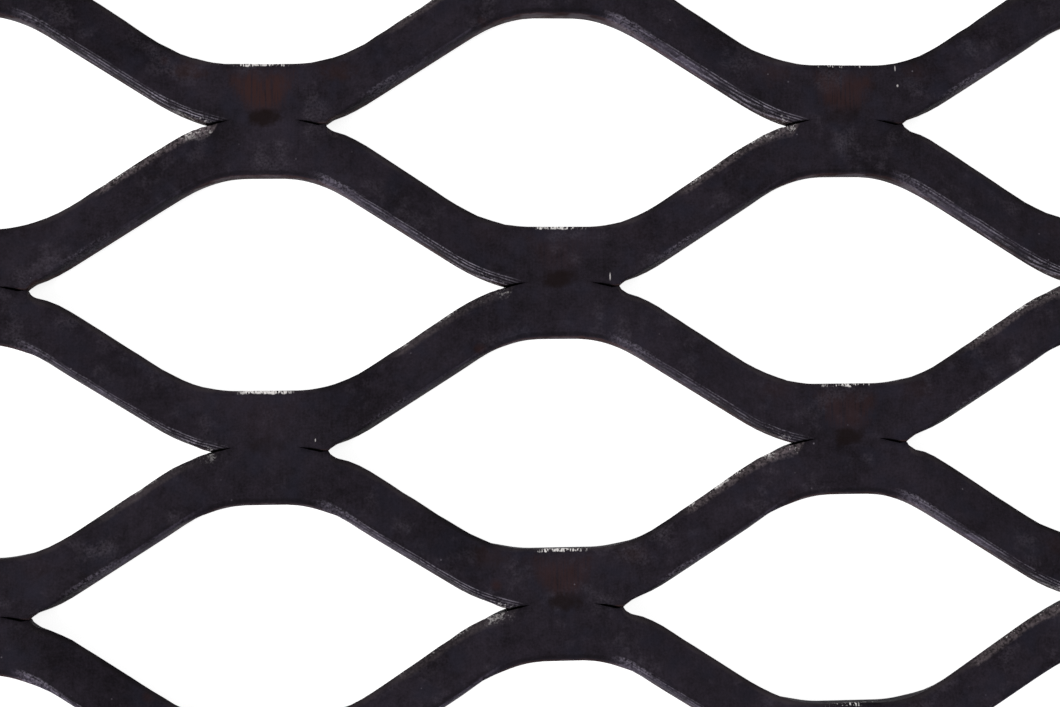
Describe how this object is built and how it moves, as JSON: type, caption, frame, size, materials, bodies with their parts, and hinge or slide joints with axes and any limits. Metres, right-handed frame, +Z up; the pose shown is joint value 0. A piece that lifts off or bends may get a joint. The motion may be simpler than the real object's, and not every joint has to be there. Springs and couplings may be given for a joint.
{
  "type": "expanded metal sheet",
  "caption": "Rectangular sheet of black hot-rolled steel, slit and stretched into a flattened diamond mesh, for guards, infill panels, screens and walkways",
  "frame": {"origin": "centre of the sheet's outline, on the plane that its lowest edges rest on", "axes": "+X along the long way of the mesh, +Y along the short way, +Z up out of the face with the tooth marks"},
  "size_m": [0.5, 0.252, 0.0053],
  "materials": {
    "mill_scale_steel": "black mill scale, satin, with bare scraped spots and light rust"
  },
  "bodies": {
    "root": {"mesh_sheet": "mill_scale_steel"}
  },
  "joints": []
}
